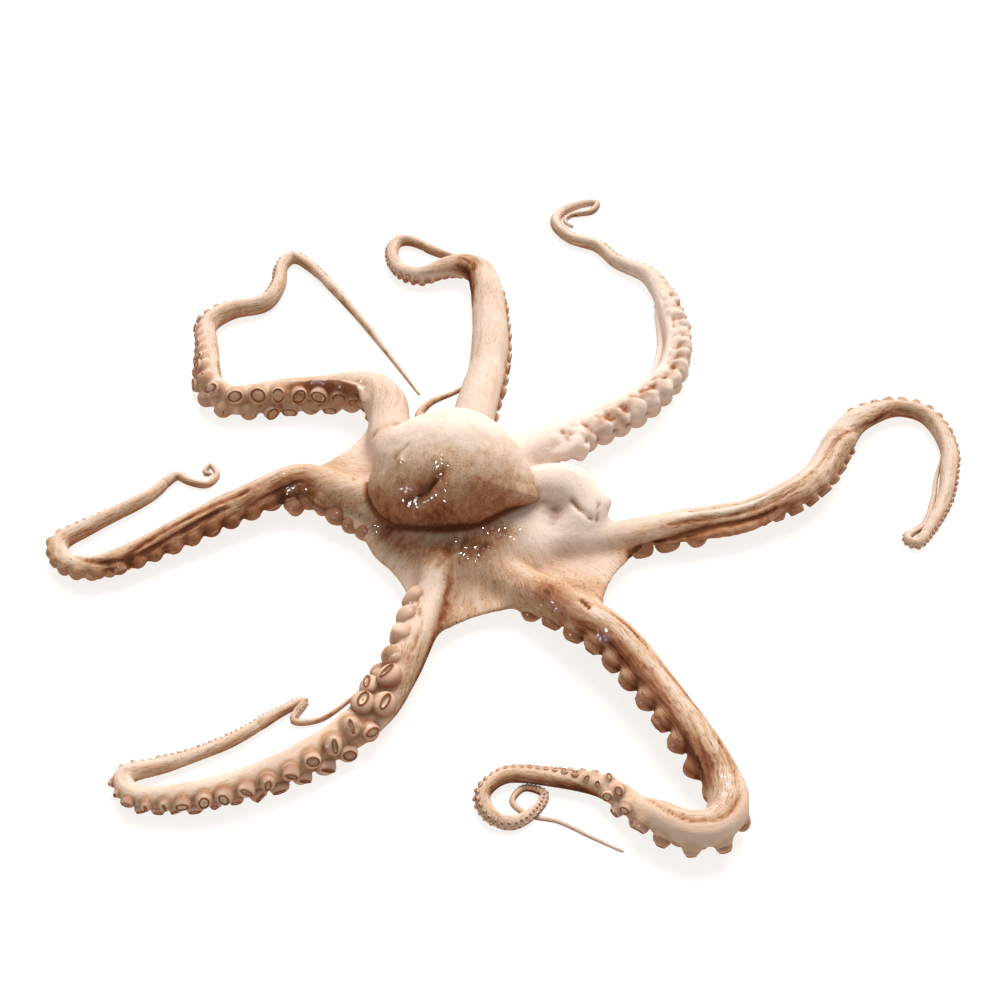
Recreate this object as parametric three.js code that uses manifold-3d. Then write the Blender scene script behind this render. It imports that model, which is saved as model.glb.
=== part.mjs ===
// A whole raw octopus, lying on its folded arms. Millimetres, Z up, floor at Z 0.
// The eight arms leave a low crown, which carries the bulb of the mantle. Seen from the front (-Y).
import * as THREE from "three";
import { mergeVertices } from "three/addons/utils/BufferGeometryUtils.js";
import Module from "manifold-3d";

// Driving sizes
const ARM_SIDES = 8;
const RING_TURN = 33; // degrees of bend between two rings
const RING_RUN = 1.6; // straight run between two rings, in arm widths
const BACK_HEIGHT = 0.46; // dorsal side of the section, in widths
const ORAL_HEIGHT = 0.36; // flatter side that carries the suckers, in widths
const SUCKER_RISE = 1.1; // above the skin, in sucker radii
const SUCKER_ROW = 0.95; // each row's offset from the arm's middle, in sucker radii
const SUCKER_PITCH = 1.3; // between two suckers of the staggered rows, in radii
const SUCKER_SIDES = 6;
const LEAST_SUCKER = 6.2; // radius of the smallest one modelled: beyond it the rows are a ridge
const SUCKER_SHOWS = 0.7; // one that faces the floor more than this isn't modelled
const WEB_THICKNESS = 6;
const SMALLEST_STEP = 0.3; // unevenness below this is smoothed out of the joined solid
const CROWN = { x: -5, y: -27, halfX: 92, halfY: 78, height: 40, under: 4 };
const MANTLE = { x: -23, y: -15, z: 52, halfX: 67, halfY: 55, halfZ: 47, droop: 14, forward: 9 };
const MOUTH = { radius: 15, height: 14, sides: 12 };

// Arms: route on the floor plan from the crown outwards; widths, sucker radii, rolls and lifts by
// distance from the root. Roll 0 has the suckers down, 90 to the right of travel, -90 to the left.
const ARMS = {
  farLeft: {
    route: [
      [-35, -28], [-58, -2], [-75, 32], [-82, 86], [-94, 107], [-120, 115], [-170, 114], [-214, 108],
      [-234, 124], [-247, 180], [-252, 216], [-236, 236], [-206, 249], [-196, 275], [-196, 310],
      [-187, 325], [-168, 309], [-127, 250], [-85, 178], [-57, 127],
    ],
    widths: [[0, 32], [130, 34], [240, 26], [370, 19], [460, 16], [540, 11], [640, 7], [755, 3], [785, 1.6]],
    suckers: [[60, 8], [150, 7.5], [300, 7], [350, 5], [450, 3], [640, 1.2], [785, 0.4]],
    rolls: [[0, 0], [110, 0], [190, -75], [300, -85]],
    lifts: [[0, 10], [120, 2], [200, 0]],
  },
  far: {
    route: [
      [-19, -15], [-14, 35], [-6, 90], [3, 150], [4, 200], [1, 250], [-9, 289], [-27, 301], [-60, 290],
      [-79, 297], [-92, 325], [-88, 351], [-77, 354], [-48, 335], [-22, 323],
    ],
    widths: [[0, 30], [95, 36], [185, 36], [260, 33], [300, 26], [340, 21], [390, 15], [450, 11], [495, 8], [530, 4]],
    suckers: [[60, 8], [100, 7.5], [260, 6], [310, 4.5], [370, 3], [430, 2.3], [530, 1]],
    rolls: [[0, 0], [90, 20], [160, 75], [260, 65], [330, 0], [370, -70]],
    lifts: [[0, 10], [90, 4], [140, 0]],
  },
  farRight: {
    route: [
      [4, -15], [23, 16], [62, 46], [97, 74], [131, 105], [158, 144], [169, 186], [168, 222],
      [159, 271], [150, 294], [124, 316], [106, 343], [80, 358], [67, 384], [74, 404], [98, 421],
      [110, 422], [104, 408], [82, 401], [77, 391], [85, 381],
    ],
    widths: [[0, 30], [70, 31], [115, 26], [205, 23], [325, 20], [375, 16], [415, 13], [510, 11], [560, 7], [630, 3]],
    suckers: [[60, 8], [180, 7.5], [250, 6], [320, 4.5], [400, 2.8], [520, 1.8], [630, 0.8]],
    rolls: [[0, 0], [60, 30], [110, 65], [200, 80], [300, 95]],
    lifts: [[0, 10], [120, 3], [180, 0]],
  },
  right: {
    route: [
      [12, -51], [49, -60], [100, -56], [150, -43], [214, -26], [243, -11], [266, 12], [300, 68],
      [320, 88], [350, 101], [372, 93], [381, 55], [374, 20], [365, -6], [346, -38], [333, -52],
      [327, -45], [345, -29], [358, 0], [367, 27], [377, 49],
    ],
    widths: [[0, 30], [75, 27], [120, 25], [310, 25], [340, 22], [370, 18], [400, 14], [500, 15], [570, 10], [600, 5], [705, 2]],
    suckers: [[60, 8.5], [120, 8], [220, 7], [310, 5.4], [370, 3.6], [500, 3], [570, 2.2], [600, 1.2], [705, 0.5]],
    rolls: [[0, 0], [60, 25], [120, 55], [280, 45], [350, 0], [420, -80]],
    lifts: [[0, 10], [120, 2], [180, 0]],
  },
  nearRight: {
    route: [
      [-2, -76], [26, -104], [57, -128], [93, -162], [120, -203], [147, -253], [159, -286],
      [151, -304], [132, -309], [107, -292], [83, -273], [45, -265], [14, -264], [0, -279], [6, -294],
      [20, -299], [36, -288], [41, -276], [28, -271], [20, -281], [30, -291], [50, -296], [72, -308],
      [91, -318],
    ],
    widths: [
      [0, 33], [75, 32], [165, 27], [240, 24], [265, 22], [310, 20], [345, 18], [375, 15], [435, 13], [480, 11],
      [505, 8], [535, 5], [560, 3.6], [640, 1.8],
    ],
    suckers: [[60, 8.5], [250, 8], [320, 7], [360, 5], [420, 3], [480, 2.5], [505, 2], [560, 0.9], [640, 0.5]],
    rolls: [[0, 0], [80, 40], [120, 55], [240, 55], [275, -20], [300, -80], [340, -110], [400, -215], [440, -200], [470, -110]],
    lifts: [[0, 10], [120, 2], [180, 0]],
  },
  nearLeft: {
    route: [
      [-29, -59], [-35, -105], [-44, -140], [-57, -180], [-70, -210], [-95, -236], [-146, -266],
      [-197, -280], [-222, -279], [-233, -264], [-208, -254], [-170, -235], [-139, -210], [-124, -201],
      [-130, -217], [-113, -216], [-82, -187],
    ],
    widths: [[0, 30], [115, 30], [175, 26], [225, 23], [280, 18], [340, 15], [400, 11], [460, 9], [490, 6.5], [520, 4], [565, 2]],
    suckers: [[60, 8.5], [150, 7.5], [220, 6], [300, 4.8], [350, 4.5], [400, 3], [460, 2], [520, 1], [565, 0.5]],
    rolls: [[0, 0], [60, 80], [120, 110], [170, 150], [220, 240], [350, 258], [400, 230]],
    lifts: [[0, 10], [100, 2], [150, 0]],
  },
  left: {
    route: [
      [-49, -42], [-80, -31], [-110, -15], [-145, 0], [-205, -31], [-254, -64], [-290, -83],
      [-316, -76], [-327, -56], [-307, -35], [-267, 0], [-250, 24], [-238, 18], [-224, 15], [-218, 26],
      [-225, 38], [-228, 29], [-222, 28],
    ],
    widths: [[0, 28], [65, 27], [140, 22], [210, 17], [250, 15], [280, 17], [330, 15], [390, 12], [430, 9], [450, 6], [515, 3]],
    suckers: [[45, 8.5], [110, 7], [180, 5.6], [320, 4.6], [380, 2.4], [450, 1.5], [515, 0.8]],
    rolls: [[0, 0], [50, -50], [240, -58], [320, -90]],
    lifts: [[0, 10], [110, 2], [160, 0]],
  },
  tucked: {
    route: [
      [20, -22], [48, -20], [68, -26], [76, -42], [60, -54], [20, -40], [-20, 20], [-50, 70], [-57, 98],
      [-48, 116], [-28, 130], [-12, 143],
    ],
    widths: [[0, 26], [40, 32], [90, 30], [120, 22], [220, 10], [300, 6], [340, 3]],
    suckers: [[60, 0]],
    rolls: [[0, 0]],
    lifts: [[0, 22], [40, 16], [70, 8], [100, 0]],
  },
};

// Webs of skin between neighbouring arms: how far each reaches along its left and right arm,
// how deep its free edge curves in, and how low it hangs.
const WEBS = [
  { arms: ["left", "farLeft"], reach: [118, 132], curve: 0.1, hang: 6 },
  { arms: ["farLeft", "far"], reach: [100, 80], curve: 0.3, hang: 6 },
  { arms: ["far", "farRight"], reach: [85, 70], curve: 0.3, hang: 6 },
  { arms: ["farRight", "right"], reach: [70, 85], curve: 0.3, hang: 6 },
  { arms: ["right", "nearRight"], reach: [135, 116], curve: 0.16, hang: 5 },
  { arms: ["nearRight", "nearLeft"], reach: [72, 108], curve: 0.16, hang: 5 },
  { arms: ["nearLeft", "left"], reach: [66, 90], curve: 0.16, hang: 6 },
];

const wasm = await Module();
wasm.setup();

// Turns a closed geometry into a solid, without its zero triangles.
function solid(geometry) {
  geometry.deleteAttribute("normal");
  geometry.deleteAttribute("uv");
  const merged = mergeVertices(geometry, 1e-3);
  const corners = [...merged.index.array];
  const kept = [];
  for (let i = 0; i < corners.length; i += 3) {
    const [a, b, c] = corners.slice(i, i + 3);
    if (a !== b && b !== c && c !== a) kept.push(a, b, c);
  }
  return new wasm.Manifold(
    new wasm.Mesh({
      numProp: 3,
      vertProperties: merged.attributes.position.array,
      triVerts: new Uint32Array(kept),
    }),
  );
}

// Moves every vertex of a geometry by a rule.
function shaped(geometry, rule) {
  const position = geometry.attributes.position;
  const v = new THREE.Vector3();
  for (let i = 0; i < position.count; i++) {
    rule(v.fromBufferAttribute(position, i));
    position.setXYZ(i, v.x, v.y, v.z);
  }
  return geometry;
}

// Value at a distance, read from a table of [distance, value] pairs with straight steps.
function at(table, distance) {
  const next = table.findIndex(([d]) => d >= distance);
  if (next === 0) return table[0][1];
  if (next < 0) return table[table.length - 1][1];
  const [d0, v0] = table[next - 1];
  const [d1, v1] = table[next];
  return v0 + ((v1 - v0) * (distance - d0)) / (d1 - d0);
}

// An arm's centre, directions and width at any distance from its root.
function armAxis({ route, widths, suckers, rolls, lifts }) {
  const curve = new THREE.CatmullRomCurve3(
    route.map(([x, y]) => new THREE.Vector3(x, y, 0)),
    false,
    "centripetal",
  );
  curve.arcLengthDivisions = 800;
  const length = curve.getLength();
  const flat = (distance) => {
    const u = Math.min(Math.max(distance / length, 0), 1);
    const tangent = curve.getTangentAt(u);
    const width = at(widths, distance);
    const sucker = distance < suckers[0][0] ? 0 : at(suckers, distance);
    const roll = THREE.MathUtils.degToRad(at(rolls, distance));
    const right = new THREE.Vector3(tangent.y, -tangent.x, 0);
    const back = new THREE.Vector3(0, 0, Math.cos(roll)).addScaledVector(right, -Math.sin(roll));
    const across = new THREE.Vector3().crossVectors(tangent, back);
    return { centre: curve.getPointAt(u), tangent, back, across, width, sucker };
  };
  // The lowest point of the rolled section, its suckers included, rests on the floor.
  const place = (distance) => {
    const frame = flat(distance);
    const { width, sucker, back, across } = frame;
    const below = (ORAL_HEIGHT * width + SUCKER_RISE * sucker) * back.z;
    let drop = below + (SUCKER_ROW + 0.6) * sucker * Math.abs(across.z);
    for (let side = 0; side < ARM_SIDES; side++) {
      const turn = (side / ARM_SIDES) * 2 * Math.PI;
      const [x, z] = section(Math.sin(turn), Math.cos(turn), frame);
      drop = Math.max(drop, -(across.z * x + back.z * z));
    }
    frame.centre.z = drop + at(lifts, distance);
    return frame;
  };
  return { length, place };
}

// A point of the arm's section: rounded back, flatter sucker side with a ridge for small suckers.
function section(x, z, { width, sucker }) {
  const ridge = sucker > 0 ? THREE.MathUtils.clamp(LEAST_SUCKER - sucker, 0, 1) * sucker : 0;
  return [x * width * 0.5, z * (z > 0 ? BACK_HEIGHT * width : ORAL_HEIGHT * width + ridge)];
}

// Ring distances along an arm: closer in the bends and where it is thin.
function ringStations(axis) {
  const stations = [0];
  let due = 0;
  let before = axis.place(0);
  for (let s = 1; s < axis.length; s++) {
    const here = axis.place(s);
    const bend = THREE.MathUtils.radToDeg(here.tangent.angleTo(before.tangent));
    const twist = THREE.MathUtils.radToDeg(here.back.angleTo(before.back));
    due += 1 / (RING_RUN * (here.width + 6)) + Math.max(bend, twist * 0.6) / RING_TURN;
    if (due >= 1) {
      stations.push(s);
      due = 0;
    }
    before = here;
  }
  if (axis.length - stations[stations.length - 1] < 4) stations.pop();
  stations.push(axis.length);
  return stations;
}

// The arm's flesh: a cylinder bent along the route, tapered and rolled.
function armFlesh(axis) {
  const stations = ringStations(axis);
  const frames = stations.map(axis.place);
  const rings = stations.length - 1;
  return shaped(new THREE.CylinderGeometry(1, 1, 1, ARM_SIDES, rings), (v) => {
    const frame = frames[Math.round((v.y + 0.5) * rings)];
    const [x, z] = section(v.x, v.z, frame);
    v.copy(frame.centre).addScaledVector(frame.across, x).addScaledVector(frame.back, z);
  });
}

// One sucker: a stub that widens to a rim round a shallow cup, its axis along +Y.
function suckerGeometry(radius) {
  const profile = [
    [0, -0.5],
    [0.85, -0.5],
    [1, SUCKER_RISE],
    [0, SUCKER_RISE - 0.45],
  ];
  return new THREE.LatheGeometry(
    profile.map(([r, h]) => new THREE.Vector2(r * radius, h * radius)),
    SUCKER_SIDES,
  );
}

// Two staggered rows of suckers, from the first to where they get too small to model.
function armSuckers(axis, firstSucker) {
  const suckers = [];
  let row = 1;
  for (let s = firstSucker; s < axis.length; row = -row) {
    const { centre, tangent, back, across, width, sucker } = axis.place(s);
    if (sucker < LEAST_SUCKER) break;
    const out = back.clone().negate().addScaledVector(across, row * 0.3).normalize();
    const turn = new THREE.Matrix4().makeBasis(tangent.clone().cross(out).negate(), out, tangent);
    const foot = centre
      .clone()
      .addScaledVector(across, row * SUCKER_ROW * sucker)
      .addScaledVector(back, -ORAL_HEIGHT * width * 0.8);
    if (back.z < SUCKER_SHOWS) suckers.push(solid(suckerGeometry(sucker).applyMatrix4(turn.setPosition(foot))));
    s += sucker * SUCKER_PITCH;
  }
  return suckers;
}

// A sheet of skin between two arms, with a free edge that curves in.
function web({ arms, reach, curve, hang }, axes) {
  const [left, right] = arms.map((name) => axes[name]);
  const sheet = new THREE.BoxGeometry(1, 1, 1, 5, 4, 1);
  return shaped(sheet, (v) => {
    const across = v.x + 0.5;
    const bow = 4 * across * (1 - across);
    const along = (v.y + 0.5) * (1 - curve * bow);
    const a = left.place(reach[0] * along).centre;
    const b = right.place(reach[1] * along).centre;
    const half = v.z * WEB_THICKNESS;
    v.lerpVectors(a, b, across);
    v.z = Math.max(v.z - hang * bow, WEB_THICKNESS / 2) + half;
  });
}

function crown() {
  const { x, y, halfX, halfY, height, under } = CROWN;
  return shaped(new THREE.SphereGeometry(1, 20, 10).rotateX(Math.PI / 2), (v) => {
    v.set(x + v.x * halfX, y + v.y * halfY, Math.max(v.z * height, under));
  });
}

function mantle() {
  const { x, y, z, halfX, halfY, halfZ, droop, forward } = MANTLE;
  const bulb = new THREE.SphereGeometry(1, 20, 12).rotateX(Math.PI / 2);
  return shaped(bulb, (v) => {
    // Both ends sag forwards and down, and the right one narrows to a point.
    const end = v.x * v.x;
    const narrow = v.x > 0 ? 1 - 0.25 * end : 1;
    v.set(
      x + v.x * halfX,
      y + v.y * halfY * narrow - forward * end,
      z + v.z * halfZ * narrow - droop * end,
    );
  });
}

// The mouth under the crown, with the flat face that the octopus rests on.
function mouth() {
  const { radius, height, sides } = MOUTH;
  return new THREE.CylinderGeometry(radius, radius, height, sides)
    .rotateX(Math.PI / 2)
    .translate(0, 0, height / 2);
}

const axes = Object.fromEntries(Object.entries(ARMS).map(([name, arm]) => [name, armAxis(arm)]));
const pieces = [
  ...Object.values(axes).map((axis) => solid(armFlesh(axis))),
  ...Object.entries(axes).flatMap(([name, axis]) => armSuckers(axis, ARMS[name].suckers[0][0])),
  ...WEBS.map((sheet) => solid(web(sheet, axes))),
  solid(crown()),
  solid(mantle()),
  solid(mouth()),
];
const flesh = wasm.Manifold.union(pieces).trimByPlane([0, 0, 1], 0).simplify(SMALLEST_STEP);
const joined = flesh.getMesh();
const geometry = new THREE.BufferGeometry();
geometry.setAttribute("position", new THREE.BufferAttribute(joined.vertProperties, 3));
geometry.setIndex(new THREE.BufferAttribute(joined.triVerts, 1));
geometry.computeVertexNormals();

const skin = new THREE.MeshStandardMaterial({ color: "#a98f7d", roughness: 0.35 });
const octopus = new THREE.Mesh(geometry, skin);
octopus.name = "octopus";
const part = new THREE.Group();
part.add(octopus);

export default part;
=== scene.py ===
import math

import bpy
import numpy as np
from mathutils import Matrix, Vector, kdtree, noise


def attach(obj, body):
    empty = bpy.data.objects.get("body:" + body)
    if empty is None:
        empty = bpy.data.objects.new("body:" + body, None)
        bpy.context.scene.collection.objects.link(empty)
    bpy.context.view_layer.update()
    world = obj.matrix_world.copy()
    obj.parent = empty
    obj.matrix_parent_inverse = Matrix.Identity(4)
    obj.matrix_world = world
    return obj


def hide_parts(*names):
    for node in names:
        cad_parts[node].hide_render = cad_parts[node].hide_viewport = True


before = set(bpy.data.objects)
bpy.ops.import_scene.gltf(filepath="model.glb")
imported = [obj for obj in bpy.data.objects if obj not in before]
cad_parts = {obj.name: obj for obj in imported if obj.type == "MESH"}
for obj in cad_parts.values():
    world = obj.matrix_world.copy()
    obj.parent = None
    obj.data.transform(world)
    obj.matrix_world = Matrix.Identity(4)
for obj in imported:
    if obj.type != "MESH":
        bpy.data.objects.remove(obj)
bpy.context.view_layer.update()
MM = 0.001

# Camera: in front of the octopus and 45 degrees above the floor, aimed beside its mouth.
bpy.ops.object.camera_add()
camera = bpy.context.object
camera.data.lens = 50
camera.data.sensor_width = 36
CAMERA_HEIGHT = math.radians(45)
CAMERA_DISTANCE = 1.111
CAMERA_TARGET = Vector((0.012, 0, 0))
towards_camera = Vector((0, -math.cos(CAMERA_HEIGHT), math.sin(CAMERA_HEIGHT)))
camera.location = CAMERA_TARGET + CAMERA_DISTANCE * towards_camera
camera.rotation_euler = (math.pi / 2 - CAMERA_HEIGHT, 0, 0)
bpy.context.scene.camera = camera

# Studio: a white floor that burns out to plain white, a white sky all round, and one large soft
# window above and behind. Three small lamps, which light nothing else, give the wet skin its glints.
bpy.context.scene.view_settings.view_transform = "Standard"
bpy.ops.mesh.primitive_plane_add(size=12)
floor = bpy.context.object
floor.name = "floor"
paper = bpy.data.materials.new("paper")
paper.use_nodes = True
paper_shader = paper.node_tree.nodes["Principled BSDF"]
paper_shader.inputs["Base Color"].default_value = (0.2, 0.2, 0.2, 1)
paper_shader.inputs["Roughness"].default_value = 0.9
paper_shader.inputs["Specular IOR Level"].default_value = 0
paper_shader.inputs["Emission Color"].default_value = (1, 0.975, 0.945, 1)
paper_shader.inputs["Emission Strength"].default_value = 0.84
floor.data.materials.append(paper)
sky = bpy.data.worlds.new("sky")
sky.use_nodes = True
sky.node_tree.nodes["Background"].inputs["Color"].default_value = (1, 1, 1, 1)
sky.node_tree.nodes["Background"].inputs["Strength"].default_value = 0.45
bpy.context.scene.world = sky
bpy.ops.object.light_add(type="SUN", rotation=(math.radians(-38), 0, math.radians(-14)))
window = bpy.context.object
window.data.angle = math.radians(44)
window.data.energy = 4.4
# Each lamp's place, its turns in degrees and its power.
for location, turns, power in (
    ((-0.25, -0.45, 1.4), (18, -9, 0), 90),
    ((0.1, 1.05, 1.05), (-45, 0, 0), 90),
    ((-0.95, -0.93, 0.36), (76, 0, -45), 80),
):
    bpy.ops.object.light_add(type="AREA", location=location, rotation=[math.radians(turn) for turn in turns])
    lamp = bpy.context.object
    lamp.data.size = 0.36
    lamp.data.energy = power
    lamp.visible_diffuse = False

# The arms. Each one is soft muscle, round on its back and flatter on its sucker side, and lies
# rolled over as it fell. Its route is the middle line on the floor in millimetres, and its
# widths, sucker radii, rolls and lifts are by distance from the root. Rolls are in degrees.
STEP = 1.0
BACK = 0.46  # how far an arm's section reaches above its middle line, in widths
BELLY = 0.36  # and below it


def route_points(points):
    """A smooth line through the points, every STEP millimetres."""
    p = np.array(points, float)
    p = np.vstack([2 * p[0] - p[1], p, 2 * p[-1] - p[-2]])
    gap = np.sqrt(np.linalg.norm(np.diff(p, axis=0), axis=1))
    t = np.linspace(0, 1, 60, endpoint=False)[:, None]
    path = []
    for i in range(1, len(p) - 2):
        a, b, c = gap[i - 1 : i + 2]
        leave = b * ((p[i] - p[i - 1]) / a - (p[i + 1] - p[i - 1]) / (a + b) + (p[i + 1] - p[i]) / b)
        reach = b * ((p[i + 1] - p[i]) / b - (p[i + 2] - p[i]) / (b + c) + (p[i + 2] - p[i + 1]) / c)
        path.append(
            (2 * t**3 - 3 * t**2 + 1) * p[i]
            + (t**3 - 2 * t**2 + t) * leave
            + (3 * t**2 - 2 * t**3) * p[i + 1]
            + (t**3 - t**2) * reach
        )
    path = np.vstack(path + [p[-2:-1]])
    run = np.concatenate([[0], np.cumsum(np.linalg.norm(np.diff(path, axis=0), axis=1))])
    s = np.arange(0, run[-1], STEP)
    return s, np.stack([np.interp(s, run, path[:, k]) for k in (0, 1)], 1)


def eased(values, reach):
    """The values, averaged over a distance of reach millimetres either way."""
    n = int(reach / STEP)
    kernel = np.hanning(2 * n + 3)[1:-1]
    padded = np.pad(values, (n, n), mode="edge")
    return np.convolve(padded, kernel / kernel.sum(), mode="valid")


def upright(turn):
    """How high an arm's section is over its middle line, in widths, at a turn round it."""
    return np.where(np.sin(turn) > 0, BACK, BELLY) * np.sin(turn)


# How an arm's suckers look, unless it says otherwise: how strong their rims are, how large the pads
# under them, how far they lean about, how far their mouths are squeezed, how their sizes vary, and
# how they are stretched, swollen where they are soft and narrowed at the mouth where they aren't.
SUCKER_LOOKS = dict(
    rims=1, pad=1.04, lean=0.16, squeeze=(0.65, 1), sizes=(0.92, 1.05), stretch=(1, 1, 1), swell=1, taper=0
)


def lay_arm(name, route, widths, suckers, rolls, lifts, tan, skin_edge, pale, flesh_tone, **looks):
    """Where an arm's middle line runs, how it is rolled, how wide it is and how it is coloured, at
    every step: how brown its skin is, how many degrees round from the middle of its back the skin
    ends, how pale its suckers are, which is partly painted shade and light, and how brown its flesh is."""
    s, plan = route_points(route)
    table = lambda pairs, reach: eased(np.interp(s, *np.array(pairs, float).T), reach)
    width = table(widths, 12)
    sucker = table(suckers, 10)
    roll = np.radians(table(rolls, 14))
    along = np.gradient(np.stack([eased(plan[:, 0], 3), eased(plan[:, 1], 3)], 1), axis=0)
    along = np.hstack([along, np.zeros((len(s), 1))])
    along /= np.linalg.norm(along, axis=1, keepdims=True)
    right = np.stack([along[:, 1], -along[:, 0], 0 * s], 1)
    back = np.array([[0, 0, 1]]) * np.cos(roll)[:, None] - right * np.sin(roll)[:, None]
    across = np.cross(along, back)
    # The lowest point of the rolled section rests on the floor, with its suckers under it.
    below = (BELLY * width + 1.1 * sucker) * back[:, 2] + 1.55 * sucker * np.abs(across[:, 2])
    turn = np.linspace(0, 2 * math.pi, 16, endpoint=False)[:, None]
    hang = -(across[:, 2] * 0.5 * np.cos(turn) + back[:, 2] * upright(turn)).min(0) * width
    height = eased(np.maximum(below, hang) + np.interp(s, *np.array(lifts, float).T), 6)
    centre = np.hstack([plan, height[:, None]])
    arm = dict(name=name, s=s, centre=centre, along=along, back=back, across=across, width=width)
    arm.update(sucker=sucker, first_sucker=suckers[0][0], tan=table(tan, 15), skin_edge=table(skin_edge, 10))
    arm.update(pale=table(pale, 10), flesh_tone=0 * s + flesh_tone)
    return arm | SUCKER_LOOKS | looks


far_left = lay_arm(
    "far_left",
    route=[
        (-35, -28), (-58, -2), (-75, 32), (-82, 86), (-94, 107), (-120, 115), (-170, 114), (-214, 108),
        (-234, 124), (-247, 180), (-252, 216), (-236, 236), (-206, 249), (-196, 275), (-196, 310),
        (-187, 325), (-168, 309), (-127, 250), (-85, 178), (-57, 127),
    ],
    widths=[(0, 32), (130, 34), (240, 26), (370, 19), (460, 16), (540, 11), (640, 7), (755, 2.2), (785, 0.8)],
    suckers=[(60, 8), (150, 7.5), (300, 7), (350, 5), (450, 3), (640, 1.2), (785, 0.4)],
    rolls=[
        (0, 0), (110, -2), (150, -45), (190, -80), (235, -95), (270, -112), (330, -112), (370, -92), (430, -85),
    ],
    lifts=[(0, 10), (120, 2), (200, 0)],
    tan=[(0, 0.3), (100, 0.2), (200, 0.22), (330, 0.3), (540, 0.25), (785, 0.3)],
    skin_edge=[(0, 100)],
    pale=[(0, 0.2), (180, 0.35), (215, 0.9), (785, 0.6)],
    flesh_tone=-0.05,
    pad=1.1,
    sizes=(0.85, 1.1),
    stretch=(1, 1, 0.98),
)
far = lay_arm(
    "far",
    route=[
        (-19, -15), (-14, 35), (-6, 90), (3, 150), (4, 200), (1, 250), (-9, 289), (-27, 301), (-60, 290),
        (-79, 297), (-92, 325), (-88, 351), (-77, 354), (-48, 335), (-22, 323),
    ],
    widths=[
        (0, 30), (95, 36), (185, 36), (260, 33), (300, 26), (340, 21), (390, 15), (450, 11), (495, 8), (530, 4),
    ],
    suckers=[(60, 8), (100, 6.8), (260, 5), (310, 4.2), (370, 3), (430, 2.3), (530, 1)],
    rolls=[(0, 0), (90, 20), (160, 66), (260, 60), (330, 0), (370, -70)],
    lifts=[(0, 10), (90, 4), (140, 0)],
    tan=[(0, 0.2), (100, 0.1), (240, 0.08), (290, 0.5), (340, 0.5), (370, 0.25), (530, 0.35)],
    skin_edge=[(0, 90)],
    pale=[(0, 0.6)],
    flesh_tone=0.05,
)
far_right = lay_arm(
    "far_right",
    route=[
        (4, -15), (23, 16), (62, 46), (97, 74), (131, 105), (158, 144), (169, 186), (168, 222),
        (159, 271), (150, 294), (124, 316), (106, 343), (80, 358), (67, 384), (74, 404), (98, 421),
        (110, 422), (104, 408), (82, 401), (77, 391), (85, 381),
    ],
    widths=[
        (0, 30), (70, 31), (115, 26), (205, 23), (325, 20), (375, 16), (415, 13), (510, 11), (560, 7), (630, 3),
    ],
    suckers=[(60, 8), (180, 7.5), (250, 6), (320, 4.5), (400, 2.8), (520, 1.8), (630, 0.8)],
    rolls=[(0, 0), (60, 30), (110, 65), (200, 80), (300, 95)],
    lifts=[(0, 10), (120, 3), (180, 0)],
    # Its tan below 0 turns it palest, partly as painted light.
    tan=[(0, -0.1), (90, -0.3), (330, -0.25), (420, 0.15), (630, 0.4)],
    skin_edge=[(0, 80)],
    pale=[(0, 0.85)],
    flesh_tone=-0.1,
    rims=0,
    pad=1.32,
    sizes=(0.85, 1.1),
)
right = lay_arm(
    "right",
    route=[
        (12, -51), (49, -60), (100, -56), (150, -43), (214, -26), (243, -11), (266, 12), (300, 68),
        (320, 88), (350, 101), (372, 93), (381, 55), (374, 20), (365, -6), (346, -38), (333, -52),
        (327, -45), (345, -29), (358, 0), (367, 27), (377, 49),
    ],
    widths=[
        (0, 30), (75, 27), (120, 25), (310, 25), (340, 22), (370, 18), (400, 14), (500, 15), (570, 10),
        (600, 5), (705, 2),
    ],
    suckers=[
        (124, 3.4), (200, 3.4), (230, 6.5), (300, 5.2), (350, 4.9), (390, 4.4), (430, 3.6), (500, 2.8),
        (570, 2), (600, 1.2), (705, 0.5),
    ],
    rolls=[(0, 0), (60, 15), (120, 34), (200, 34), (306, 54), (332, 0), (360, -62), (430, -82)],
    lifts=[(0, -4), (60, 2), (120, 2), (180, 0)],
    tan=[(0, 0.25), (150, 0.25), (300, 0.3), (350, 0.4), (430, 0.2), (705, 0.3)],
    skin_edge=[(0, 125), (120, 92), (215, 92), (240, 135), (330, 100), (705, 90)],
    pale=[(0, 0.1), (325, 0.2), (345, 1)],
    flesh_tone=0.12,
)
near_right = lay_arm(
    "near_right",
    route=[
        (-2, -76), (26, -104), (57, -128), (93, -162), (120, -203), (147, -253), (159, -286),
        (152, -308), (133, -313), (107, -297), (83, -275), (45, -265), (14, -264), (0, -279), (6, -294),
        (20, -299), (36, -288), (41, -276), (28, -271), (20, -281), (30, -291), (50, -296), (72, -308),
        (91, -318),
    ],
    widths=[
        (0, 33), (75, 32), (165, 27), (240, 25), (265, 26), (310, 26), (345, 20), (375, 15), (435, 13),
        (480, 11), (505, 8), (535, 5), (560, 3.4), (580, 2.2), (640, 0.8),
    ],
    suckers=[
        (60, 8.5), (240, 8), (258, 6.5), (285, 6.2), (330, 6), (360, 5), (385, 3.6), (420, 2.2), (480, 1.8),
        (505, 1.5), (560, 0.8), (640, 0.3),
    ],
    rolls=[
        (0, 0), (80, 30), (120, 38), (215, 40), (245, 15), (268, -12), (290, -30), (340, -38), (368, -140),
        (385, -195), (410, -228), (500, -245), (530, -200),
    ],
    lifts=[(0, -14), (40, -10), (80, -2), (120, 2), (180, 0)],
    tan=[(0, 0.35), (80, 0.62), (240, 0.66), (300, 0.6), (400, 0.5), (640, 0.5)],
    skin_edge=[(0, 165), (245, 165), (272, 40), (350, 32), (375, 110), (640, 120)],
    pale=[(0, 0.15), (250, 0.2), (272, 0.8), (350, 0.8), (385, 0.5)],
    flesh_tone=0.12,
    taper=0.22,
)
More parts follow.
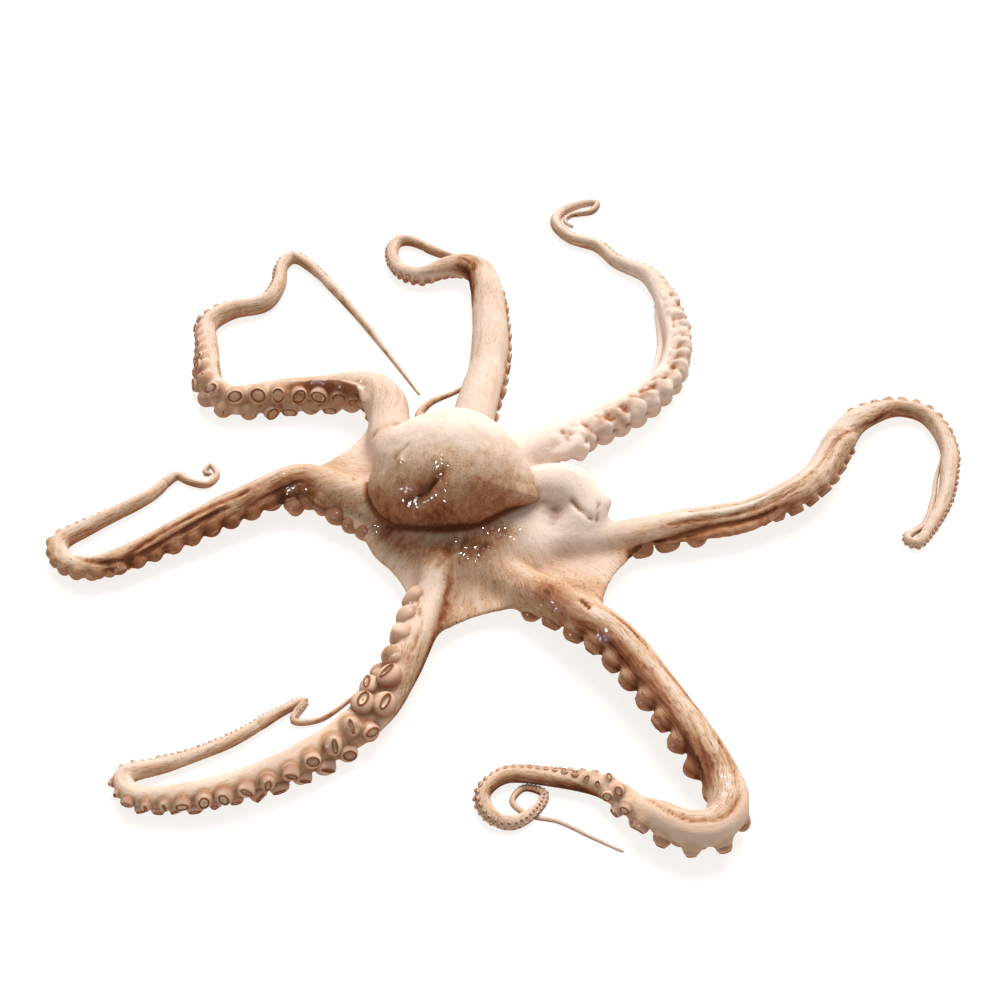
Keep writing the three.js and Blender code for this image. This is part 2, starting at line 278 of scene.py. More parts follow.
near_left = lay_arm(
    "near_left",
    route=[
        (-29, -59), (-35, -105), (-44, -140), (-57, -180), (-70, -210), (-95, -238), (-146, -269),
        (-198, -283), (-227, -281), (-238, -266), (-208, -254), (-170, -235), (-139, -210), (-124, -201),
        (-130, -217), (-113, -216), (-82, -187),
    ],
    widths=[
        (0, 30), (115, 30), (175, 26), (225, 23), (280, 18), (340, 15), (400, 11), (460, 9), (490, 6.5),
        (520, 4), (565, 2),
    ],
    suckers=[
        (68, 8), (150, 7.5), (220, 6.4), (300, 5), (335, 4), (365, 2.4), (400, 1.8), (460, 1.4), (520, 0.9),
        (565, 0.5),
    ],
    rolls=[
        (0, 0), (60, 80), (125, 112), (150, 150), (168, 190), (190, 246), (235, 280), (350, 292), (400, 250),
    ],
    lifts=[(0, -6), (50, -2), (100, 2), (150, 0)],
    tan=[(0, 0.4), (60, 0.3), (150, 0.4), (200, 0.1), (330, 0.05), (380, 0.2), (565, 0.4)],
    skin_edge=[(0, 150), (105, 140), (145, 95), (180, 75), (340, 75), (380, 120)],
    pale=[(0, 0.7)],
    flesh_tone=0.08,
    pad=0.97,
    lean=0.2,
    squeeze=(0.4, 0.85),
    sizes=(0.85, 1.1),
    stretch=(1.12, 1.12, 1.15),
    swell=1.08,
    taper=0.2,
)
left = lay_arm(
    "left",
    route=[
        (-49, -42), (-80, -31), (-110, -15), (-145, 0), (-205, -31), (-254, -64), (-290, -83),
        (-316, -76), (-327, -56), (-307, -35), (-267, 0), (-250, 24), (-238, 18), (-224, 15), (-218, 26),
        (-225, 38), (-228, 29), (-222, 28),
    ],
    widths=[
        (0, 28), (65, 27), (140, 24), (210, 20), (250, 17), (280, 17), (330, 15), (390, 12), (430, 9),
        (450, 6), (515, 3),
    ],
    suckers=[
        (66, 8.5), (95, 8), (120, 7.5), (180, 6.8), (270, 5.2), (320, 3.4), (380, 1.9), (450, 1.3), (515, 0.7),
    ],
    rolls=[(0, 0), (50, -34), (100, -26), (235, -24), (275, -50), (320, -90)],
    lifts=[(0, 5), (110, 2), (160, 0)],
    tan=[(0, 0.3), (100, 0.55), (250, 0.55), (330, 0.28), (515, 0.3)],
    skin_edge=[(0, 150), (250, 150), (300, 120)],
    pale=[(0, 0.2), (240, 0.2), (290, 0.5)],
    flesh_tone=0.12,
    pad=1.15,
    stretch=(1, 1, 0.85),
)
# The eighth arm is tucked in: it folds under itself beside the mantle and its tip comes out behind.
tucked = lay_arm(
    "tucked",
    route=[
        (20, -22), (48, -20), (68, -26), (76, -42), (60, -54), (20, -40), (-20, 20), (-50, 70), (-57, 98),
        (-48, 116), (-28, 130), (-12, 143),
    ],
    widths=[(0, 26), (40, 38), (75, 36), (100, 28), (125, 20), (220, 10), (300, 6), (340, 3)],
    suckers=[(60, 0), (340, 0)],
    rolls=[(0, 0), (340, 0)],
    lifts=[(0, 26), (45, 24), (75, 13), (105, 0)],
    tan=[(0, 0), (40, -0.35), (90, -0.35), (200, 0.4), (340, 0.5)],
    skin_edge=[(0, 180)],
    pale=[(0, 1)],
    flesh_tone=0,
)
ARMS = [far_left, far, far_right, right, near_right, near_left, left, tucked]


OUTWARD = 0.3  # how far each row of suckers leans out from the arm's middle
APART = 0.95  # how far each row is from the middle, in radii
DEPTH = 0.29  # how far the suckers' feet are below the middle line, in arm widths
SPACING = 1.22  # how far it is from one sucker to the next, in the other row, in radii


def sucker_places(arm, smallest):
    """Foot, outward direction, arm's direction and radius of the suckers, which stand in two
    staggered rows."""
    places = []
    s = arm["first_sucker"]
    row = 1
    while s < arm["s"][-1]:
        at = lambda key: np.array([np.interp(s, arm["s"], v) for v in np.atleast_2d(arm[key].T)])
        radius = at("sucker")[0]
        if radius > smallest:
            out = at("across") * row * OUTWARD - at("back")
            foot = at("centre") + at("across") * row * APART * radius - at("back") * DEPTH * at("width")[0]
            places.append((foot, out / np.linalg.norm(out), at("along"), radius))
        s += SPACING * max(radius, 0.8)
        row = -row
    return places


def read(mesh):
    """Where the points of a mesh are, one row for each."""
    co = np.empty(len(mesh.vertices) * 3)
    mesh.vertices.foreach_get("co", co)
    return co.reshape(-1, 3)


def write(mesh, points):
    """Puts the points of a mesh at places given in millimetres."""
    mesh.vertices.foreach_set("co", (points * MM).ravel())
    mesh.update()


def flesh(arm, start, end, sides=28, ring=3, ease=0.5):
    """A closed tube of the arm's own section between two distances. Its ends are rounded off over
    ease times its width."""
    rows = np.clip(np.append(np.arange(start, end, ring), end), 0, arm["s"][-1])
    last = len(rows) - 1
    bpy.ops.mesh.primitive_grid_add(x_subdivisions=sides, y_subdivisions=last, size=2)
    tube = bpy.context.object
    co = read(tube.data)
    turn = np.pi * co[:, 0]
    row = np.rint((co[:, 1] + 1) / 2 * last).astype(int)
    pick = lambda key: np.stack([np.interp(rows, arm["s"], v) for v in arm[key].T], 1)[row]
    width = np.interp(rows, arm["s"], arm["width"])[row]
    end_gap = np.minimum(rows - rows[0], rows[-1] - rows)[row] / (ease * width)
    width = width * np.sqrt(1 - (1 - np.clip(end_gap, 0, 1)) ** 2)
    co = pick("centre") + pick("across") * (0.5 * width * np.cos(turn))[:, None]
    co += pick("back") * (width * upright(turn))[:, None]
    write(tube.data, co)
    bpy.ops.object.mode_set(mode="EDIT")
    bpy.ops.mesh.select_all(action="SELECT")
    bpy.ops.mesh.remove_doubles(threshold=0.00001)
    bpy.ops.mesh.normals_make_consistent(inside=False)
    bpy.ops.object.mode_set(mode="OBJECT")
    return tube


def only(piece):
    """Makes the piece the active object and the only one selected."""
    bpy.ops.object.select_all(action="DESELECT")
    piece.select_set(True)
    bpy.context.view_layer.objects.active = piece


def modify(piece, kind, **settings):
    """Adds a modifier to the piece and applies it."""
    only(piece)
    bpy.ops.object.modifier_add(type=kind)
    modifier = piece.modifiers[-1]
    for key, value in settings.items():
        setattr(modifier, key, value)
    bpy.ops.object.modifier_apply(modifier=modifier.name)


def web(left_arm, right_arm, reach, curve, hang, thickness=5):
    """A sheet of skin between two arms, whose free edge curves in towards the crown."""
    bpy.ops.mesh.primitive_grid_add(x_subdivisions=16, y_subdivisions=24, size=1)
    sheet = bpy.context.object
    for vertex in sheet.data.vertices:
        side = vertex.co.x + 0.5
        bow = 4 * side * (1 - side)
        along = (vertex.co.y + 0.5) * (1 - curve * bow)
        a, b = [
            np.array([np.interp(far_along * along, arm["s"], v) for v in arm["centre"].T])
            for arm, far_along in zip((left_arm, right_arm), reach)
        ]
        point = a + (b - a) * side
        point[2] = max(point[2] - hang * bow, thickness / 2 + 1)
        vertex.co = point * MM
    modify(sheet, "SOLIDIFY", thickness=thickness * MM, offset=0)
    return sheet


def fin(arm, start, end, angle, reach, thickness=3):
    """A lip of skin between two distances along an arm, at an angle from the middle of its back.
    It grows from inside the arm and stands out by reach millimetres at its middle."""
    bpy.ops.mesh.primitive_grid_add(x_subdivisions=6, y_subdivisions=int(end - start) // 3, size=1)
    sheet = bpy.context.object
    for vertex in sheet.data.vertices:
        v = vertex.co.y + 0.5
        s = start + (end - start) * v
        at = lambda key: np.array([np.interp(s, arm["s"], c) for c in np.atleast_2d(arm[key].T)])
        turn = math.radians(np.interp(v, np.linspace(0, 1, len(angle)), angle))
        width = at("width")[0]
        high = 0.3 * width + (vertex.co.x + 0.5) * (0.16 * width + reach * math.sin(math.pi * v) ** 0.7)
        point = at("centre") + high * (at("back") * math.cos(turn) + at("across") * math.sin(turn))
        vertex.co = point * MM
    modify(sheet, "SOLIDIFY", thickness=thickness * MM, offset=0)
    return sheet


def join(pieces, name):
    """The pieces as one object."""
    bpy.ops.object.select_all(action="DESELECT")
    for piece in pieces:
        piece.select_set(True)
    bpy.context.view_layer.objects.active = pieces[0]
    bpy.ops.object.join()
    pieces[0].name = pieces[0].data.name = name
    return pieces[0]


def smoothstep(low, high, x):
    """0 where x is below low and 1 where it is above high, with a smooth rise between."""
    t = np.clip((x - low) / (high - low), 0, 1)
    return t * t * (3 - 2 * t)


def lumps(points, size, seed=0):
    """Smooth noise between -1 and 1 at each point, with lumps about size millimetres wide."""
    return np.array([noise.noise(Vector(p)) for p in points / size + seed])


# The body: the crown that the arms leave, the webs of skin between them, and the arms as far as
# they are thicker than 9 mm, with a pad under each sucker, all grown into one smooth skin.
THIN = 9
SMALLEST_PAD = 3
for arm in ARMS:
    arm["thick"] = arm["s"][np.nonzero(arm["width"] > THIN)[0][-1]]
tucked["thick"] = 140
body_parts = []
for arm in ARMS:
    body_parts.append(flesh(arm, 0, arm["thick"]))
    for foot, out, along, radius in sucker_places(arm, SMALLEST_PAD):
        middle = foot + 0.1 * radius * out
        bpy.ops.mesh.primitive_uv_sphere_add(
            segments=12, ring_count=8, radius=arm["pad"] * radius * MM, location=middle * MM
        )
        body_parts.append(bpy.context.object)
body_parts += [
    web(left, far_left, (118, 132), 0.1, 6),
    web(far_left, far, (100, 80), 0.3, 6),
    web(far, far_right, (85, 70), 0.3, 6),
    web(far_right, right, (70, 85), 0.3, 6),
    web(right, near_right, (135, 116), 0.16, 5),
    web(near_right, near_left, (72, 108), 0.16, 5),
    web(near_left, left, (80, 110), 0.13, 6),
    fin(far_left, 104, 232, (-97, -100, -103), 9),
    fin(far_right, 195, 335, (-25, -25, -20), 9),
    fin(right, 108, 224, (122, 116), 7, thickness=5),
    fin(left, 50, 200, (-112, -112), 4),
]
# Lobes of loose flesh: on the far right arm's first suckers, and where the tucked arm folds.
LOBES = [((70, 33, 30), 8), ((76, 31, 24), 8), ((60, 22, 30), 7), ((84, -47, 34), 8), ((92, -38, 36), 7)]
for middle, radius in LOBES:
    bpy.ops.mesh.primitive_uv_sphere_add(
        segments=16, ring_count=10, radius=radius * MM, location=Vector(middle) * MM
    )
    body_parts.append(bpy.context.object)
# The crown is a low dome with a thin edge.
CROWN_RADII = (0.092, 0.078, 0.040)
CROWN_EDGE = 0.004
bpy.ops.mesh.primitive_uv_sphere_add(segments=48, ring_count=24)
crown = bpy.context.object
for vertex in crown.data.vertices:
    x, y, z = [radius * c for radius, c in zip(CROWN_RADII, vertex.co)]
    vertex.co = (x - 0.005, y - 0.027, max(z, CROWN_EDGE))
body = join([crown] + body_parts, "body")
modify(body, "REMESH", mode="VOXEL", voxel_size=0.00217)
modify(body, "SMOOTH", iterations=5)

# The arms' middle lines in one list, by every fourth step, to find which arm a point is on.
EVERY = 4
axis = {
    key: np.concatenate([arm[key][::EVERY] for arm in ARMS])
    for key in ("s", "centre", "along", "back", "across", "width", "tan", "skin_edge", "flesh_tone")
}
axis["arm"] = np.concatenate([np.full(len(arm["s"][::EVERY]), i) for i, arm in enumerate(ARMS)])


def on_arms(points):
    """Where points of the skin lie on their arm: distance along it, degrees round from the middle
    of its back, and how far out of the arm's own section they are, as on the webs."""
    near = np.empty(len(points), int)
    for i in range(0, len(points), 4000):
        some = points[i : i + 4000]
        square = (some**2).sum(1)[:, None] + (axis["centre"] ** 2).sum(1) - 2 * some @ axis["centre"].T
        near[i : i + 4000] = (np.sqrt(np.maximum(square, 0)) - 0.5 * axis["width"]).argmin(1)
    lies = {key: axis[key][near] for key in ("width", "tan", "skin_edge", "flesh_tone", "arm")}
    offset = points - axis["centre"][near]
    dot = lambda key: np.einsum("ij,ij->i", offset, axis[key][near])
    lies["s"] = axis["s"][near] + np.clip(dot("along"), -EVERY, EVERY)
    lies["angle"] = np.degrees(np.arctan2(dot("across"), dot("back")))
    lies["outside"] = np.hypot(dot("across"), dot("back")) / (0.5 * lies["width"])
    return lies


# The hollows between the roots of the arms are filled out, so that the arms leave the crown softly.
place = read(body.data) / MM
soft = 1 - smoothstep(60, 125, on_arms(place)["s"])
soft[place[:, 2] < 8] *= 0.3
group = body.vertex_groups.new(name="crown")
for i in np.nonzero(soft > 0.02)[0]:
    group.add([int(i)], float(soft[i]), "REPLACE")
modify(body, "SMOOTH", vertex_group="crown", iterations=54)
body.vertex_groups.clear()

# The thin ends of the arms, which start inside the thick part.
OVERLAP = 9
tips = [flesh(arm, arm["thick"] - OVERLAP, arm["s"][-1], sides=12, ring=2.5, ease=1) for arm in ARMS]
tips = join(tips, "tips")
modify(body, "BOOLEAN", operation="UNION", solver="MANIFOLD", object=tips)
bpy.data.objects.remove(tips)

# The skin's relief: soft lumps, and folds that run along the arms.
mesh = body.data
place = read(mesh) / MM
normal = np.array([v.normal for v in mesh.vertices])
lies = on_arms(place)
s, angle, width, arm_of = [lies[key] for key in ("s", "angle", "width", "arm")]
is_on = lambda arm: arm_of == ARMS.index(arm)
on_arm = smoothstep(70, 120, s) * (1 - smoothstep(1.15, 1.5, lies["outside"]))
on_arm[is_on(tucked)] = 1
around = np.radians(angle) * 0.5 * width
shift = 0.6 + 0.8 * lumps(place, 24) * np.clip(width / 25, 0.1, 1)
# The far right arm's sucker side is lobed.
lobed = is_on(far_right) * smoothstep(50, 75, angle) * smoothstep(55, 80, s) * (1 - smoothstep(330, 380, s))
shift += lobed * (3.0 * lumps(place, 9, 4) + 0.8 * lumps(place, 4, 8))
fold_places = np.stack([around / 4.5, s / 38, arm_of * 10.0], 1)
folds = lumps(fold_places, 1) * np.clip(width / 25, 0, 1) * on_arm * smoothstep(160, 110, np.abs(angle))
shift += 0.6 * folds
stain_and_shade = np.zeros(len(place))


def to_line(points, line):
    """How far points are from a line of corners."""
    line = np.array(line, float)
    nearest = np.full(len(points), 1e9)
    for a, b in zip(line, line[1:] if len(line) > 1 else line):
        run = b - a
        t = np.clip((points - a) @ run / max(run @ run, 1e-9), 0, 1)
        nearest = np.minimum(nearest, np.linalg.norm(points - a - t[:, None] * run, axis=1))
    return nearest


def marked(points, marks):
    """How far the marks move the points out, and how much darker they make them, which in the sunken marks is
    partly painted shade.
    """
    moved, tinted = np.zeros(len(points)), np.zeros(len(points))
    for line, reach, rise, tint in marks:
        bump = np.exp(-((to_line(points, line) / reach) ** 2))
        moved += rise * bump
        tinted += tint * bump
    return moved, tinted


# Folds and stains on the arms: the distances and angles that they run through, how wide they are,
# how far they stand out or sink in, and how much browner or paler they are. The browner tint of the
# sunken folds is partly painted shade, and the first mark, under the far left arm's lip, is painted shade.
ARM_MARKS = [
    (far_left, [(110, -128), (150, -128), (190, -124), (222, -122)], 7, -2.0, 0.5),
    (far_left, [(235, -35), (280, -50), (330, -45)], 1.8, -1.5, 0.4),
    (right, [(95, 118), (140, 107), (170, 97), (215, 93)], 1.6, -1.6, 0.6),
    (right, [(95, 125), (150, 122), (222, 115)], 8, 0, 0.4),
    (far, [(250, -20), (275, -35), (300, -30), (325, -10)], 9, 0, 0.45),
    (right, [(130, 66), (190, 69), (221, 64), (247, 58), (267, 46), (320, 40)], 1.5, -1.6, 0.3),
    (right, [(185, 62), (231, 41), (262, 40)], 1.6, -1.3, 0.3),
    (right, [(150, 30), (200, 20), (250, 10)], 1.8, -1.2, 0.2),
    (right, [(280, 60), (333, 48), (374, 16)], 1.6, -1.2, 0.3),
    (right, [(140, 45), (200, 44), (260, 25)], 2.4, 1.2, -0.3),
    (
        near_right,
        [(100, 25), (136, 10), (177, -3), (210, -12), (240, -20), (262, -38), (280, -46), (320, -36), (350, -34)],
        1.3, -1.4, 0.5,
    ),
    (near_right, [(60, 55), (98, 75), (151, 86), (211, 89), (262, 60)], 9, 0, 0.1),
    (near_right, [(100, 50), (140, 50), (170, 42), (204, 38), (235, 30), (266, -13)], 5, 0.5, -0.2),
    (
        left,
        [(150, -40), (198, -35), (225, -36), (240, -57), (257, -100), (272, -79), (290, -47)],
        1.8, -1.7, 0.5,
    ),
    (left, [(170, -70), (215, -75), (240, -95), (262, -125)], 1.8, -1.5, 0.4),
    (left, [(83, -123), (104, -123), (124, -115)], 10, 0, 0.28),
    (near_left, [(68, 123), (83, 97), (97, 78), (118, 82), (136, 93)], 1.1, -1.2, 0.35),
    (near_left, [(48, 7), (66, 14), (86, 18), (115, 10), (150, 20)], 7, 0, 0.4),
    (near_left, [(52, 55), (74, 66), (99, 60)], 8, 0.8, -0.12),
]
for arm, line, reach, rise, tint in ARM_MARKS:
    line = np.array(line, float)
    nearby = (s > line[0, 0] - 3 * reach) & (s < line[-1, 0] + 3 * reach)
    mine = np.nonzero(is_on(arm) & nearby)[0]
    half = 0.5 * np.interp(line[:, 0], arm["s"], arm["width"])
    line[:, 1] = np.radians(line[:, 1]) * half
    moved, tinted = marked(np.stack([s[mine], around[mine]], 1), [(line, reach, rise, tint)])
    shift[mine] += moved
    stain_and_shade[mine] += tinted

# The same on the crown and the webs, by where they are. The first, in the crease along the near left arm's flank,
# is painted shade.
CROWN_MARKS = [
    ([(-20, -101, 29), (-22, -113, 25), (-24, -125, 23), (-28, -140, 21)], 4, -2.5, 0.4),
    ([(-76, -53, 23), (-63, -66, 24), (-40, -85, 38), (-14, -79, 31), (12, -70, 33)], 11, 0, 0.5),
    ([(-46, -84, 34), (-34, -96, 33), (-24, -92, 32)], 8, 0, 0.3),
    ([(-2, -86, 33), (10, -99, 34), (25, -112, 36), (45, -127, 38)], 8, 0, 0.38),
    ([(35, -72, 33), (60, -78, 32), (85, -80, 28)], 10, 1.5, -0.3),
    ([(16, -82, 36), (30, -92, 38), (44, -100, 36)], 8, 1.8, -0.35),
    ([(27, -62, 35), (46, -66, 36), (61, -71, 34), (87, -70, 30)], 6, 1.5, 0.1),
    ([(70, -138, 38), (75, -146, 39)], 1.5, -2.2, 1.4),
    ([(-101, -15, 37), (-103, 10, 30), (-95, 35, 33), (-80, 44, 38), (-70, 48, 39)], 2.2, -1.6, 0.3),
    ([(66, -43, 42), (72, -50, 40), (80, -56, 36)], 2.0, -2.6, 0.5),
    ([(88, -42, 44), (86, -48, 40), (85, -56, 34)], 1.6, -2.2, 0.5),
    ([(-111, -31, 28), (-97, -45, 24), (-83, -57, 20)], 2, 1.0, 0.3),
]
moved, tinted = marked(place, CROWN_MARKS)
shift += moved
stain_and_shade = (stain_and_shade + tinted) * (1 + 0.6 * lumps(place, 11, 2) + 0.5 * lumps(place, 4, 6))
place += normal * shift[:, None]
place[:, 2] = np.maximum(place[:, 2], 0.2)
write(mesh, place)


def spread(mesh, values, turns):
    """Values at the points of a mesh, each averaged with its neighbours, turn after turn."""
    ends = np.empty(2 * len(mesh.edges), int)
    mesh.edges.foreach_get("vertices", ends)
    a, b = ends.reshape(-1, 2).T
    size = len(values)
    degree = np.maximum(np.bincount(ends, minlength=size), 1)
    columns = np.atleast_2d(values.T)
    for _ in range(turns):
        columns = [(np.bincount(a, c[b], size) + np.bincount(b, c[a], size)) / degree for c in columns]
    return np.stack(columns, -1).reshape(values.shape)


def hollows(mesh, points, turns=8):
    """How far each point lies below its surroundings, in millimetres, and the way it faces."""
    facing = np.array([v.normal for v in mesh.vertices])
    return np.einsum("ij,ij->i", spread(mesh, points, turns) - points, facing), facing


def tree_of(points):
    """A tree that finds the nearest of the points."""
    tree = kdtree.KDTree(len(points))
    for i, point in enumerate(points):
        tree.insert(point, i)
    tree.balance()
    return tree


def wetness(points, spots):
    """How wet each point is, from the middles of the wettest spots and how far they spread."""
    return np.max([np.exp(-((to_line(points, line) / reach) ** 2)) for line, reach in spots], 0)


def store(mesh, key, values):
    """Keeps a value for each point of a mesh as an attribute, which the materials read."""
    kept = mesh.attributes.get(key) or mesh.attributes.new(key, "FLOAT", "POINT")
    kept.data.foreach_set("value", np.asarray(values, np.float32))


def paint(mesh, grain, **values):
    """Keeps what the skin needs: how brown each point is, how much painted shade it has in creases,
    on undersides and where parts meet, how wet and mottled it is, whether it is on an arm, and where
    it is along the grain of the skin."""
    for key, value in values.items():
        store(mesh, key, value)
    flat = grain.astype(np.float32).ravel()
    mesh.attributes.new("grain", "FLOAT_VECTOR", "POINT").data.foreach_set("vector", flat)


# The pigment: where the brown skin lies on the arms, and how its edges fade into the cream flesh, with painted
# shade added in the hollows, on the undersides and round the sucker feet, and painted light on the upper edges.
hollow, normal = hollows(mesh, place)
# Each sucker grows from a pad of paler flesh, ringed with painted shade where it meets the arm.
feet = [(foot, radius) for arm in ARMS for foot, out, along, radius in sucker_places(arm, 2)]
foot_tree = tree_of([foot for foot, radius in feet])
ring = np.zeros(len(place))
bare = np.zeros(len(place))
for i in np.nonzero(np.abs(angle) > 60)[0]:
    _, which, far_off = foot_tree.find(place[i])
    far_off /= feet[which][1]
    ring[i] = math.exp(-(((far_off - 1.15) / 0.2) ** 2))
    bare[i] = 1 - smoothstep(0.8, 1.3, far_off)
FADE = 22
crown_part = 1 - smoothstep(60, 130, s)
beyond_edge = smoothstep(lies["skin_edge"] - FADE, lies["skin_edge"] + FADE, np.abs(angle))
skinned = np.maximum(1 - beyond_edge, crown_part * (normal[:, 2] > -0.2))
skinned *= 1 - 0.8 * bare
ring *= (1 - 0.6 * skinned) * np.where(is_on(near_right), 0.4, 1)
brown = lies["flesh_tone"] + (lies["tan"] - lies["flesh_tone"]) * skinned
brown += (spread(mesh, brown, 40) - brown) * np.maximum(crown_part, 1 - on_arm)
# Painted shade on the flanks that face forwards and down, and on the undersides, and painted light on the upper
# edges, which face back and up.
underside_shade = 1 - smoothstep(-0.6, 0.35, normal[:, 2])
nearness = normal @ (0, -0.8, -0.6)
flank_shade_and_light = 0.42 * smoothstep(-0.1, 0.8, nearness) - 0.42 * smoothstep(0.0, 0.85, -nearness)
brown += flank_shade_and_light * skinned * np.clip(lies["tan"] / 0.45, 0, 1) * (0.25 + 0.75 * on_arm) - 0.18 * crown_part
# Water stands in these places.
BODY_WET = [
    ([(-95, -50, 24), (-76, -60, 23)], 9),
    ([(8, -66, 36), (22, -66, 36)], 10),
    ([(-14, -82, 34), (-4, -86, 34)], 10),
    ([(38, -140, 34), (48, -142, 36)], 9),
    ([(-142, 108, 34), (-100, 98, 36)], 7),
    ([(225, -30, 32), (235, -24, 32)], 8),
    ([(-150, -15, 25), (-142, -14, 25)], 5),
    ([(152, -300, 22), (158, -285, 26)], 8),
    ([(84, -170, 36), (88, -176, 36)], 7),
]
grain = np.stack([around, s, arm_of * 50.0], 1)
grain[is_on(tucked)] = place[is_on(tucked)] * (0.8, 5, 0.5)
# The brown and the crease values both carry the painted shade of the undersides and of the rings round the sucker
# feet.
paint(
    mesh,
    grain,
    brown=brown + stain_and_shade + 0.15 * underside_shade + 0.3 * ring,
    on_arm=on_arm,
    crease=np.clip(hollow * (1 + 0.6 * lobed) / 1.1 - 0.1, 0, 1) + 0.3 * underside_shade + 0.4 * ring,
    wet=wetness(place, BODY_WET),
    mottle=(0.6 + 0.4 * on_arm) * (0.25 + 0.75 * skinned),
)

# The mantle: the bulb of the body, a soft bag of the same wet skin that sags forwards on the crown.
bpy.ops.mesh.primitive_uv_sphere_add(segments=330, ring_count=200)
mantle = bpy.context.object
mantle.name = mantle.data.name = "mantle"
x, y, z = read(mantle.data).T
# Its ends droop forwards and down, and its right end is narrower.
narrow = np.where(x > 0, 1 - 0.25 * x * x, 1)
place = np.stack([67 * x, 55 * y * narrow - 9 * x * x, 47 * z * narrow - 14 * x * x], 1) + (-23, -15, 52)
# How far its outline reaches, seen from the front and above, at each angle from its right.
OUTLINE = [
    (0, 0.92), (15, 0.93), (60, 0.91), (90, 0.89), (120, 0.91), (150, 1.02), (165, 1.02), (180, 0.97), (195, 1),
    (240, 1), (270, 1), (285, 0.96), (300, 0.92), (315, 0.88), (330, 0.9), (342, 1.03), (350, 0.95), (360, 0.92),
]
MIDDLE = np.array([-22.5, -18, 49])
right_of, back_of, above = (place - MIDDLE).T
rise = (back_of + above) / math.sqrt(2)
depth = (back_of - above) / math.sqrt(2)
reach = np.interp(np.degrees(np.arctan2(rise, right_of)) % 360, *np.array(OUTLINE).T)
reach = 1 + (reach - 1) * smoothstep(15, 58, np.hypot(rise, right_of))
rise, right_of = rise * reach, right_of * reach
place = np.stack([right_of, (rise + depth) / math.sqrt(2), (rise - depth) / math.sqrt(2)], 1) + MIDDLE
write(mantle.data, place)
# The slit of the eye, with its lips, the knob beside it and a few shallow folds. The slit and the hollow round it
# are darkened as painted shade.
MANTLE_MARKS = [
    ([(-49, -63, 66), (-42, -64, 70), (-38, -61, 75), (-34, -59, 80)], 0.75, -3.0, 1.1),
    ([(-53, -63, 63), (-38, -60, 77), (-29, -54, 85)], 4, -1.3, 0.2),
    ([(-56, -60, 64), (-40, -60, 75), (-34, -56, 82)], 8, 0, 0.15),
    ([(-44, -68, 62), (-33, -66, 70), (-25, -60, 79)], 4, 1.2, 0),
    ([(-55, -58, 70), (-46, -52, 82), (-36, -44, 90)], 4, 1.2, 0),
    ([(-61, -40, 81)], 2.6, 2.2, 0.2),
    ([(-66, -36, 79), (-56, -30, 88)], 2.2, -0.8, 0.2),
]
normal = np.array([v.normal for v in mantle.data.vertices])
shift, stain_and_shade = marked(place, MANTLE_MARKS)
shift += 1.2 * lumps(place, 26, 3) + 0.35 * lumps(place, 8, 5)
place += normal * shift[:, None]
write(mantle.data, place)


def closeness(points, others, reach):
    """How close each point is to the nearest of the others, from 1 where they touch to 0."""
    tree = tree_of(others)
    return np.array([math.exp(-((tree.find(point)[2] / reach) ** 2)) for point in points])


# It is browner towards its foot and pale on top, partly its own colour and partly painted shade below and painted
# light on top, with a line of painted shade where it lies on the crown.
BROWN_AND_SHADE_BY_RISE = [
    (-54, 1.1), (-46, 0.92), (-36, 0.8), (-22, 0.64), (-6, 0.44), (2, 0.26), (10, 0.17), (18, 0.04), (26, -0.08),
    (36, -0.25),
]
hollow, normal = hollows(mantle.data, place, 12)
right_of, back_of, above = (place - MIDDLE).T
rise = (back_of + above) / math.sqrt(2)
brown = np.interp(rise + 4 * lumps(place, 20, 9), *np.array(BROWN_AND_SHADE_BY_RISE).T) - 0.3 * smoothstep(34, 64, right_of)
brown += 0.14 * lumps(place, 14, 21) + 0.1 * lumps(place, 5, 25) + stain_and_shade
body_place = read(body.data) / MM
touching = np.nonzero(np.linalg.norm((body_place - MIDDLE) / (75, 65, 60), axis=1) < 1.15)[0]
low = np.nonzero(rise < -8)[0]
contact_shade = np.zeros(len(place))
contact_shade[low] = closeness(place[low], body_place[touching], 4.5)
contact_shade *= 1 - 0.8 * smoothstep(40, 62, right_of)
MANTLE_WET = [
    ([(-60, -62, 66), (-50, -66, 62)], 8),
    ([(-46, -66, 64), (-30, -66, 70)], 6),
    ([(-34, -54, 84), (-30, -48, 88)], 6),
    ([(2, -50, 80), (6, -48, 80)], 7),
    ([(-62, -44, 80), (-58, -40, 82)], 4),
]
paint(
    mantle.data,
    place * (1.2, 6, 0.45),
    brown=brown + 1.1 * contact_shade,
    on_arm=np.ones(len(place)),
    crease=0.6 * np.clip(hollow / 0.9, 0, 1) + 0.4 * contact_shade,
    wet=wetness(place, MANTLE_WET),
    mottle=np.full(len(place), 0.5),
)
# Painted shade on the crown, where the mantle lies on it.
mantle_shadow = 0.8 * closeness(body_place[touching], place, 2.4)
mantle_shadow *= 1 - 0.8 * smoothstep(15, 38, body_place[touching, 0])
for key in ("brown", "crease"):
    values = np.empty(len(body_place), np.float32)
    body.data.attributes[key].data.foreach_get("value", values)
    values[touching] += mantle_shadow
    store(body.data, key, values)


